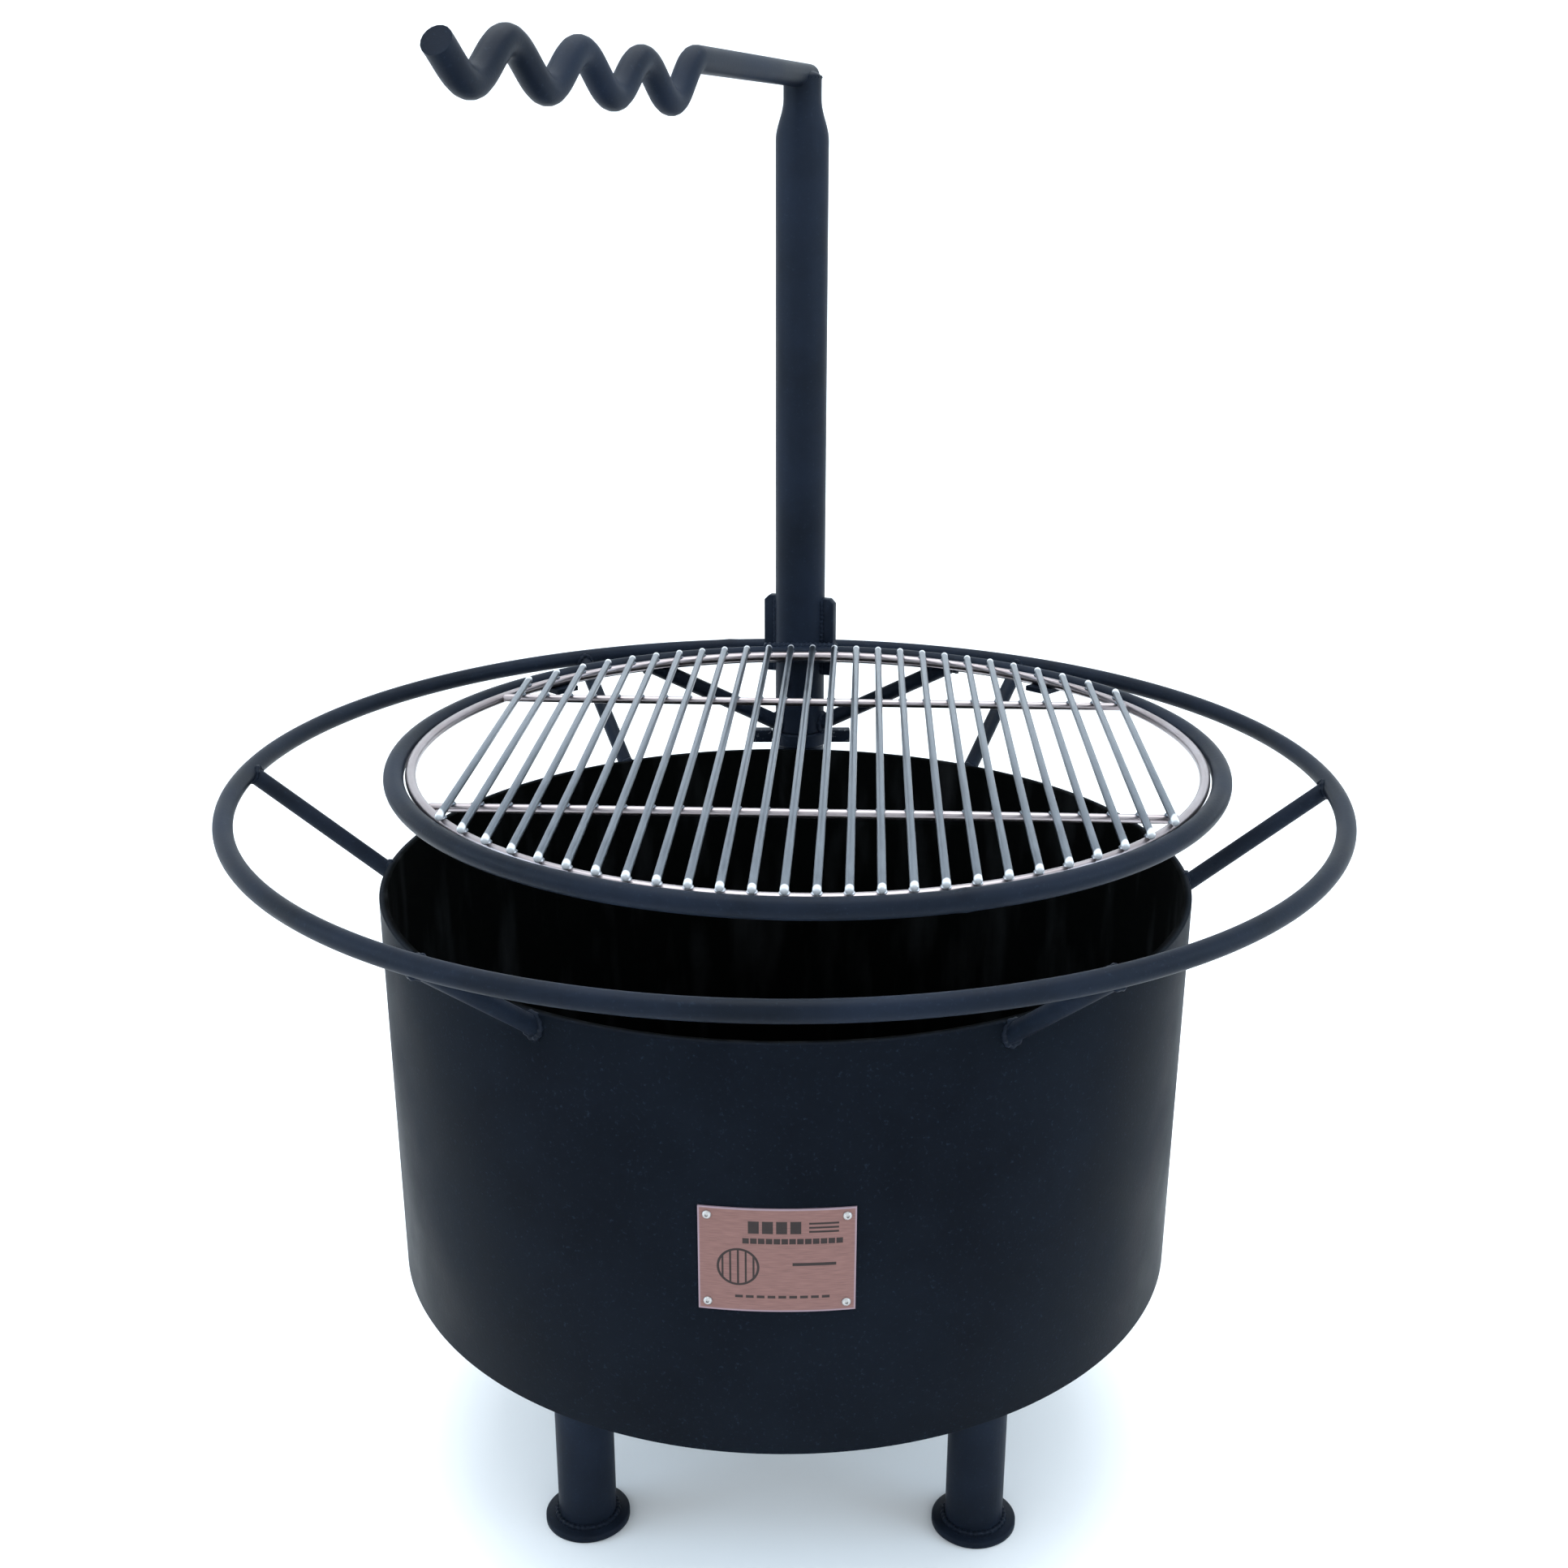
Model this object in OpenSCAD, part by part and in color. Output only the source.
// Pipe-shell fire pit with a hand ring and a swing-away cooking grate.
// +Z is up, the floor is z = 0, and the shell's axis is x = y = 0.
// The lift post stands behind the shell, on +Y.

/* [Fire shell] */
// Outside diameter of the shell pipe
shell_d = 609.6; // [480:0.1:740]
// Wall of the shell pipe
shell_wall = 6.35; // [4:0.05:10]
// Height of the shell pipe
shell_h = 304.8; // [240:0.1:380]
// Thickness of the floor plate inside the shell's foot
floor_t = 6.35; // [4:0.05:12]

/* [Legs] */
// Number of legs
leg_count = 4; // [3:1:4]
// Height of the shell's foot above the ground
leg_h = 183; // [120:1:240]
// Outside diameter of a leg pipe
leg_d = 44.45; // [34:0.05:54]
// Wall of a leg pipe
leg_wall = 3.05; // [2.5:0.01:4.5]
// Distance of a leg's axis from the shell's outside
leg_inset = 92; // [70:1:120]
// Angle by which the legs are turned from the diagonals
leg_turn = 0.5; // [-5:0.5:5]
// Diameter of a foot pad
foot_d = 65; // [56:0.5:80]
// Thickness of a foot pad
foot_t = 6.35; // [4:0.05:12]

/* [Hand ring] */
// Diameter of the hand ring's rod
hand_rod_d = 14; // [10:0.1:20]
// Distance from the shell's outside to the middle of the hand ring's rod
hand_ring_gap = 101.6; // [80:0.1:140]
// Height of the hand ring above the rim
hand_ring_rise = 71; // [50:0.5:75]
// Number of struts that carry the hand ring
strut_count = 6; // [3:1:6]
// Diameter of a strut
strut_d = 12.7; // [9:0.1:16]
// Depth below the rim at which a strut meets the shell
strut_drop = 14; // [10:0.5:40]

/* [Post socket] */
// Outside diameter of the socket pipe and of the lift post
post_d = 44.45; // [38:0.05:48]
// Wall of the socket pipe and of the lift post
post_wall = 3.05; // [2.5:0.01:5]
// Height of the socket's foot above the shell's foot
socket_foot = 24.8; // [4:0.1:65]
// Height of the socket's mouth above the rim
socket_rise = 0; // [0:0.5:4]
// Thickness of the plate that closes the socket's foot
socket_cap_t = 5; // [3:0.5:8]
// Height of a gusset's foot above the shell's foot
gusset_foot = 54.8; // [26:0.1:150]
// Depth of a gusset's top below the rim
gusset_drop = 30; // [16:1:40]
// Distance that a gusset stands out sideways past the socket
gusset_edge = 6.35; // [3:0.05:10]

/* [Rest collar] */
// Outside diameter of the rest collar
collar_d = 50.8; // [46:0.1:60]
// Height of the rest collar
collar_h = 12.7; // [12:0.1:20]
// Side of a clamp screw's square head
screw_head = 11.5; // [8:0.1:11.5]
// Distance from the post's axis to the end of a clamp screw's head
screw_reach = 46.5; // [42:0.1:60]
// Diameter of a clamp screw's shank
screw_d = 8; // [6:0.1:10]

/* [Swing arm] */
// Angle at which the arm stands from the shell's centre line
arm_turn = 2.75; // [-10:0.25:10]
// Height of the full-width part of the post above the rim
post_rise = 527; // [420:1:600]
// Length of the post's taper
taper_h = 20; // [10:1:60]
// Diameter of the post's neck
neck_d = 31.8; // [24:0.1:34]
// Length of the neck from the taper to the handle's axis
neck_h = 24; // [18:1:50]
// Height of the guide bar's lower end above the socket's foot
guide_foot = 18; // [2:0.5:60]
// Length of the guide bar inside the lift post
guide_in_post = 48; // [30:1:52]
// Diameter of the frame ring's rod
frame_rod_d = 14.6; // [10:0.1:18]
// Height of the middle of the frame ring's rod above the rim
frame_rise = 89.7; // [89:0.1:100]
// Depth that the frame ring is let into the post
frame_bite = 5.9; // [3:0.1:8]
// Diameter of a brace
brace_d = 14; // [10:0.1:16]
// Sideways distance from the post's axis to a brace's upper end
brace_reach = 137; // [100:1:160]
// Height of a brace's lower end above the rim
brace_foot = 22; // [22:0.1:34]

/* [Post wings] */
// Overall width across the two wings
wing_span = 66; // [56:0.1:72]
// Depth of the wings' middle plane behind the front of the post
wing_depth = 22.2; // [16:0.1:24]
// Thickness of a wing
wing_t = 9.5; // [6:0.1:10]
// Height of a wing
wing_h = 70; // [50:1:90]
// Height of the wings' lower edge above the rim
wing_rise = 67; // [62:1:80]
// Chamfer at a wing's upper corner
wing_chamfer = 6; // [2:0.5:7]

/* [Wavy handle] */
// Diameter of the handle's rod
handle_rod_d = 19.05; // [14:0.05:20]
// Angle of the handle and the wings from the arm
handle_turn = -20.2; // [-45:0.1:45]
// Angle at which the handle rises away from the post
handle_tilt = 0.4; // [0:0.1:3]
// Length of the straight bar from the post's axis to the first wave
handle_straight = 231; // [150:1:300]
// Height of the waves, from crest to trough of the middle line
wave_height = 24.3; // [16:0.1:40]
// Depth of the crests below the line of the straight bar
wave_sink = 5.4; // [0:0.1:12]
// Length of one wave
wave_pitch = 96; // [80:0.1:120]
// Number of waves
wave_count = 3.85; // [2:0.05:5]

/* [Cooking grate] */
// Angle of the grate from the arm
grate_turn = -3.1; // [-20:0.1:20]
// Diameter of the grate's rim rod
rim_rod_d = 7.9; // [6:0.1:12]
// Diameter of a grate bar
bar_d = 5.55; // [4:0.05:8]
// Distance between the middles of two grate bars
bar_pitch = 19.5; // [14:0.05:25]
// Least distance from the outermost bar to the rim rod
bar_margin = 40; // [25:1:60]
// Distance of the bars' middle from the rim's middle
bar_shift = 4.5; // [-8:0.5:8]
// Distance that a bar's end stands past the middle of the rim rod
bar_overhang = 5; // [0:0.5:5.5]
// Diameter of a cross bar
cross_d = 6.35; // [4:0.05:8]
// Distance of a cross bar from the grate's middle
cross_offset = 137.5; // [100:0.5:180]
// Number of rest tabs under the frame ring
tab_count = 4; // [3:1:6]
// Width of a rest tab
tab_w = 22; // [14:1:32]
// Length of a rest tab inside the frame ring
tab_reach = 15; // [11:0.5:24]
// Thickness of a rest tab
tab_t = 4; // [3:0.1:4.5]

/* [Name plate] */
// Width of the name plate
plate_w = 101.6; // [60:0.1:140]
// Height of the name plate
plate_h = 76.2; // [50:0.1:100]
// Thickness of the name plate
plate_t = 1.2; // [0.8:0.1:3]
// Depth of the plate's middle below the rim
plate_drop = 153; // [110:1:180]
// Angle of the plate from the front
plate_turn = 0.9; // [-5:0.1:5]
// Distance of a rivet from the plate's edges
rivet_inset = 6; // [4:0.5:10]
// Diameter of a rivet's shank
rivet_d = 3.2; // [2.4:0.1:4.8]
// Diameter of a rivet's head
rivet_head_d = 6; // [5:0.1:9]

/* [Fits] */
// Gap at a welded joint, which the weld fills
weld_gap = 0.1; // [0.05:0.05:0.3]
// Running clearance of the guide bar in its pipes, on the radius
guide_clear = 0.06; // [0.02:0.01:0.1]
// Clearance between faces that rest on each other and turn
rest_clear = 0.2; // [0.1:0.05:0.5]
// Clearance between the grate and the frame ring
grate_clear = 0.9; // [0.5:0.1:2]

/* [Hidden] */

$fn = 96;
paint = "#2a3542";
shell_r = shell_d / 2;
rim_z = leg_h + shell_h;
overcut = 1;

hand_ring_r = shell_r + hand_ring_gap;
hand_ring_z = rim_z + hand_ring_rise;

post_y = shell_r + post_d / 2 + weld_gap;
guide_d = post_d - 2 * post_wall - 2 * guide_clear;
socket_top = rim_z + socket_rise;
socket_foot_z = leg_h + socket_foot;
collar_z = socket_top + rest_clear;
post_foot_z = collar_z + collar_h + rest_clear;
guide_foot_z = socket_foot_z + guide_foot;
guide_top_z = post_foot_z + guide_in_post;

frame_ring_r = post_y - post_d / 2 + frame_bite - frame_rod_d / 2;
frame_z = rim_z + frame_rise;
taper_z = rim_z + post_rise;
neck_z = taper_z + taper_h;
handle_z = neck_z + neck_h;

grate_rim_r = frame_ring_r - frame_rod_d / 2 - rim_rod_d / 2 - grate_clear;
tab_top_z = frame_z - 3;
grate_z = tab_top_z + rest_clear + rim_rod_d / 2;
bar_z = grate_z + rim_rod_d / 2 + bar_d / 2 + weld_gap;
cross_z = bar_z - bar_d / 2 - cross_d / 2 - weld_gap;
bars_each_side = floor((grate_rim_r - bar_margin) / bar_pitch + 0.5);

plate_z = rim_z - plate_drop;
wave_steps = 20;
rod_sides = 16;

// A round rod bent into a full circle
module rod_ring(ring_r, rod_d) {
    rotate_extrude($fn = 180)
        translate([ring_r, 0])
            circle(d = rod_d, $fn = 48);
}

// A straight round rod between two points
module rod_between(from, to, d) {
    run = to - from;
    flat = norm([run[0], run[1]]);
    translate(from)
        rotate([0, atan2(flat, run[2]), atan2(run[1], run[0])])
            cylinder(d = d, h = norm(run));
}

// A pipe that stands on z = 0
module pipe(outer_d, wall, h) {
    difference() {
        cylinder(d = outer_d, h = h);
        translate([0, 0, -overcut])
            cylinder(d = outer_d - 2 * wall, h = h + 2 * overcut);
    }
}

// Places what belongs to the lift post: its axis is z, the grate is towards -Y
module at_post() {
    translate([0, post_y, 0])
        rotate([0, 0, arm_turn])
            children();
}

// Places what is centred in the frame ring
module at_frame() {
    at_post()
        translate([0, -post_y, 0])
            children();
}

// Places what is centred in the grate's rim
module at_grate() {
    at_frame()
        rotate([0, 0, grate_turn])
            children();
}

// Places children at a leg's axis
module at_leg(i) {
    rotate([0, 0, leg_turn + 45 + (i - 1) * 360 / leg_count])
        translate([shell_r - leg_inset, 0, 0])
            children();
}

// Places children at the four rivets, with z pointing out of the shell
module at_rivets() {
    for (side = [-1, 1], level = [-1, 1])
        rotate([0, 0, plate_turn + side * rivet_angle])
            translate([0, -shell_r, plate_z + level * (plate_h / 2 - rivet_inset)])
                rotate([90, 0, 0])
                    children();
}
rivet_angle = (plate_w / 2 - rivet_inset) / shell_r * 180 / PI;

module rivet_holes() {
    at_rivets()
        translate([0, 0, -shell_wall - overcut])
            cylinder(d = rivet_d + 2 * weld_gap, h = shell_wall + plate_t + 2 * overcut, $fn = 24);
}

module fire_shell() {
    color(paint)
        difference() {
            translate([0, 0, leg_h])
                pipe(shell_d, shell_wall, shell_h, $fn = 240);
            rivet_holes();
        }
}

module floor_plate() {
    color(paint)
        translate([0, 0, leg_h])
            cylinder(r = shell_r - shell_wall - weld_gap, h = floor_t, $fn = 240);
}

module leg(i) {
    color(paint)
        at_leg(i)
            translate([0, 0, foot_t + weld_gap])
                pipe(leg_d, leg_wall, leg_h - foot_t - 2 * weld_gap);
}

module foot_pad(i) {
    edge = foot_t / 4;
    color(paint)
        at_leg(i)
            rotate_extrude()
                polygon([
                    [0, 0], [foot_d / 2 - edge, 0], [foot_d / 2, edge],
                    [foot_d / 2, foot_t - edge], [foot_d / 2 - edge, foot_t], [0, foot_t]]);
}

module hand_ring() {
    color(paint)
        translate([0, 0, hand_ring_z])
            rod_ring(hand_ring_r, hand_rod_d);
}

// Runs from the shell's outside up to the hand ring, coped at both ends
module ring_strut(i) {
    strut_z = rim_z - strut_drop;
    color(paint)
        rotate([0, 0, (i - 1) * 360 / strut_count])
            difference() {
                rod_between([shell_r - shell_wall, 0, strut_z],
                            [hand_ring_r, 0, hand_ring_z], strut_d);
                translate([0, 0, strut_z - 5 * strut_d])
                    cylinder(r = shell_r + weld_gap, h = 10 * strut_d, $fn = 240);
                translate([0, 0, hand_ring_z])
                    rod_ring(hand_ring_r, hand_rod_d + 2 * weld_gap);
            }
}

module post_socket() {
    color(paint)
        translate([0, post_y, socket_foot_z])
            pipe(post_d, post_wall, socket_top - socket_foot_z);
}

module socket_cap() {
    color(paint)
        translate([0, post_y, socket_foot_z - socket_cap_t - weld_gap])
            cylinder(d = post_d, h = socket_cap_t);
}

// An upright strip in the corner between the shell and the socket, coped to both
module socket_gusset(side) {
    foot_z = leg_h + gusset_foot;
    gusset_h = rim_z - gusset_drop - foot_z;
    inner_y = shell_r * 0.95;
    color(paint)
        difference() {
            translate([side > 0 ? gusset_side : -gusset_side - gusset_w, inner_y, foot_z])
                cube([gusset_w, post_y - inner_y, gusset_h]);
            translate([0, 0, foot_z - overcut])
                cylinder(r = shell_r + weld_gap, h = gusset_h + 2 * overcut, $fn = 240);
            translate([0, post_y, foot_z - overcut])
                cylinder(d = post_d + 2 * weld_gap, h = gusset_h + 2 * overcut);
        }
}
// A gusset starts beside the line where the socket touches the shell
gusset_side = post_d / 4;
gusset_w = post_d / 2 - gusset_side + gusset_edge;

// A sheet rolled to the shell's outside
module name_plate() {
    color("#b98c86")
        difference() {
            rotate([0, 0, plate_turn])
                intersection() {
                    translate([0, 0, plate_z - plate_h / 2])
                        pipe(shell_d + 2 * plate_t + 2 * weld_gap, plate_t, plate_h, $fn = 240);
                    translate([-plate_w / 2, -shell_r - 2 * plate_t, plate_z - plate_h])
                        cube([plate_w, shell_r, 2 * plate_h]);
                }
            rivet_holes();
        }
}

module plate_rivets() {
    dome_h = rivet_head_d / 4;
    seat = plate_t + 2 * weld_gap;
    color("silver")
        at_rivets()
            rotate_extrude($fn = 32)
                polygon([
                    [0, -shell_wall], [rivet_d / 2, -shell_wall], [rivet_d / 2, seat],
                    [rivet_head_d / 2, seat], [rivet_head_d / 2.3, seat + dome_h * 0.6],
                    [rivet_head_d / 5, seat + dome_h], [0, seat + dome_h]]);
}

// Places a clamp screw: its axis is z, pointing away from the post
module at_clamp_screw(side) {
    at_post()
        translate([0, 0, collar_z + collar_h / 2])
            rotate([0, side * 90, 0])
                children();
}

module rest_collar() {
    color(paint)
        difference() {
            at_post()
                translate([0, 0, collar_z])
                    difference() {
                        cylinder(d = collar_d, h = collar_h);
                        translate([0, 0, -overcut])
                            cylinder(d = guide_d + 2 * guide_clear, h = collar_h + 2 * overcut);
                    }
            for (side = [-1, 1])
                at_clamp_screw(side)
                    cylinder(d = screw_d + 2 * rest_clear, h = collar_d, $fn = 48);
        }
}

// A square-headed screw through the collar's wall, with its tip at the guide bar
module clamp_screw(side) {
    tip = guide_d / 2 + rest_clear;
    head = collar_d / 2 + rest_clear;
    color("dimgray")
        at_clamp_screw(side) {
            translate([0, 0, tip])
                cylinder(d = screw_d, h = head + overcut - tip, $fn = 48);
            translate([-screw_head / 2, -screw_head / 2, head])
                cube([screw_head, screw_head, screw_reach - head]);
        }
}

// The lift post: a pipe with a swaged neck, coped to the frame ring and the handle
module lift_post() {
    outer_r = post_d / 2;
    inner_r = outer_r - post_wall;
    color(paint)
        difference() {
            at_post()
                rotate_extrude()
                    polygon([
                        [inner_r, post_foot_z], [outer_r, post_foot_z], [outer_r, taper_z],
                        [neck_d / 2, neck_z], [neck_d / 2, handle_z],
                        [neck_d / 2 - post_wall, handle_z], [neck_d / 2 - post_wall, neck_z],
                        [inner_r, taper_z]]);
            at_frame()
                translate([0, 0, frame_z])
                    rod_ring(frame_ring_r, frame_rod_d + 2 * weld_gap);
            at_post()
                rotate([0, 0, handle_turn])
                    translate([0, 0, handle_z])
                        rotate([90 - handle_tilt, 0, 0])
                            cylinder(d = handle_rod_d + 2 * weld_gap, h = 2 * post_d, center = true);
        }
}

module guide_bar() {
    color("gray")
        at_post()
            translate([0, 0, guide_foot_z])
                cylinder(d = guide_d, h = guide_top_z - guide_foot_z);
}

// A flat wing beside the post, with its upper outer corner cut off
module post_wing(side) {
    color(paint)
        difference() {
            at_post()
                translate([0, wing_depth - post_d / 2, rim_z + wing_rise])
                    rotate([0, 0, handle_turn])
                        rotate([90, 0, 0])
                            linear_extrude(wing_t, center = true)
                                polygon([
                                    [side * post_d / 4, 0], [side * wing_span / 2, 0],
                                    [side * wing_span / 2, wing_h - wing_chamfer],
                                    [side * (wing_span / 2 - wing_chamfer), wing_h],
                                    [side * post_d / 4, wing_h]]);
            at_post()
                translate([0, 0, rim_z])
                    cylinder(d = post_d + 2 * weld_gap, h = wing_rise + wing_h + overcut);
            at_frame()
                translate([0, 0, frame_z])
                    rod_ring(frame_ring_r, frame_rod_d + 2 * weld_gap);
        }
}

// A rod from the foot of the post out to the underside of the frame ring
module brace(side) {
    ring_y = sqrt(pow(frame_ring_r, 2) - pow(brace_reach, 2)) - post_y;
    color(paint)
        difference() {
            at_post()
                rod_between([0, 0, rim_z + brace_foot - brace_slope_drop],
                            [side * brace_reach, ring_y, frame_z], brace_d);
            at_post()
                translate([0, 0, post_foot_z - 4 * brace_d])
                    cylinder(d = post_d + 2 * weld_gap, h = 12 * brace_d);
            at_frame()
                translate([0, 0, frame_z])
                    rod_ring(frame_ring_r, frame_rod_d + 2 * weld_gap);
            at_frame()
                translate([0, 0, frame_z])
                    cylinder(r = frame_ring_r, h = 4 * brace_d);
        }
}
// How far a brace's middle line falls between the post's face and its axis
brace_slope_drop = (frame_rise - brace_foot) * post_d / 2 / (brace_reach - post_d / 2);

module frame_ring() {
    color(paint)
        at_frame()
            translate([0, 0, frame_z])
                rod_ring(frame_ring_r, frame_rod_d);
}

// A flat tab under the inside of the frame ring, which carries the grate
module rest_tab(i) {
    color(paint)
        at_frame()
            difference() {
                rotate([0, 0, 45 + (i - 1) * 360 / tab_count])
                    translate([frame_ring_r - frame_rod_d / 2 - tab_reach, -tab_w / 2,
                               tab_top_z - tab_t])
                        cube([tab_reach + frame_rod_d / 2, tab_w, tab_t]);
                translate([0, 0, frame_z])
                    rod_ring(frame_ring_r, frame_rod_d + 2 * weld_gap);
            }
}

// The handle's middle line at a distance s along the handle from the post's axis
function wave_angle(s) = max(0, s - handle_straight) / wave_pitch * 360;
function wave_drop(a) = a < 180 ? (wave_height + wave_sink) / 2 * (1 - cos(a))
                                : wave_sink + wave_height / 2 * (1 - cos(a));
function handle_point(s) =
    [0, -s, handle_z + s * tan(handle_tilt) - wave_drop(wave_angle(s))];
function unit(v) = v / norm(v);
function handle_tangent(s) = unit(handle_point(s + 0.5) - handle_point(s - 0.5));
function handle_loop(s) =
    let (along = handle_tangent(s), upward = cross([1, 0, 0], along))
    [for (k = [0:rod_sides - 1])
        handle_point(s) + handle_rod_d / 2
            * [-cos(k * 360 / rod_sides), sin(k * 360 / rod_sides) * upward[1],
               sin(k * 360 / rod_sides) * upward[2]]];

// A round bar across the top of the post, its free half bent into waves
module wavy_handle() {
    start = -neck_d / 2;
    wave_step = wave_pitch / wave_steps;
    stations = concat([start],
        [for (i = [0:wave_count * wave_steps]) handle_straight + i * wave_step]);
    last = len(stations) - 1;
    points = [for (s = stations) each handle_loop(s)];
    sides = [for (i = [0:last - 1], k = [0:rod_sides - 1])
        let (next = (k + 1) % rod_sides, a = i * rod_sides, b = a + rod_sides)
        [a + k, a + next, b + next, b + k]];
    ends = [[for (k = [rod_sides - 1:-1:0]) k],
            [for (k = [0:rod_sides - 1]) last * rod_sides + k]];
    color(paint)
        at_post()
            rotate([0, 0, handle_turn])
                polyhedron(points = points, faces = concat(sides, ends));
}

module grate_rim() {
    color("silver")
        at_grate()
            translate([0, 0, grate_z])
                rod_ring(grate_rim_r, rim_rod_d);
}

module grate_bars() {
    reach = grate_rim_r + bar_overhang;
    color("silver")
        at_grate()
            for (i = [-bars_each_side:bars_each_side - 1]) {
                x = bar_shift + (i + 0.5) * bar_pitch;
                half = sqrt(pow(reach, 2) - pow(x, 2));
                translate([x, half, bar_z])
                    rotate([90, 0, 0])
                        cylinder(d = bar_d, h = 2 * half, $fn = 32);
            }
}

// A bar across the underside of the grate bars, inside the rim
module cross_bar(side) {
    half = sqrt(pow(grate_rim_r, 2) - pow(cross_offset, 2));
    color("silver")
        at_grate()
            difference() {
                translate([-half, side * cross_offset, cross_z])
                    rotate([0, 90, 0])
                        cylinder(d = cross_d, h = 2 * half, $fn = 32);
                translate([0, 0, grate_z])
                    rod_ring(grate_rim_r, rim_rod_d + 2 * weld_gap);
            }
}

fire_shell();
floor_plate();
for (i = [1:leg_count]) {
    leg(i);
    foot_pad(i);
}
hand_ring();
for (i = [1:strut_count])
    ring_strut(i);
post_socket();
socket_cap();
socket_gusset(-1);  // socket_gusset_left
socket_gusset(1);  // socket_gusset_right
name_plate();
plate_rivets();
rest_collar();
clamp_screw(-1);  // clamp_screw_left
clamp_screw(1);  // clamp_screw_right
lift_post();
guide_bar();
post_wing(-1);  // post_wing_left
post_wing(1);  // post_wing_right
brace(-1);  // brace_left
brace(1);  // brace_right
frame_ring();
for (i = [1:tab_count])
    rest_tab(i);
wavy_handle();
grate_rim();
grate_bars();
cross_bar(-1);  // cross_bar_front
cross_bar(1);  // cross_bar_back
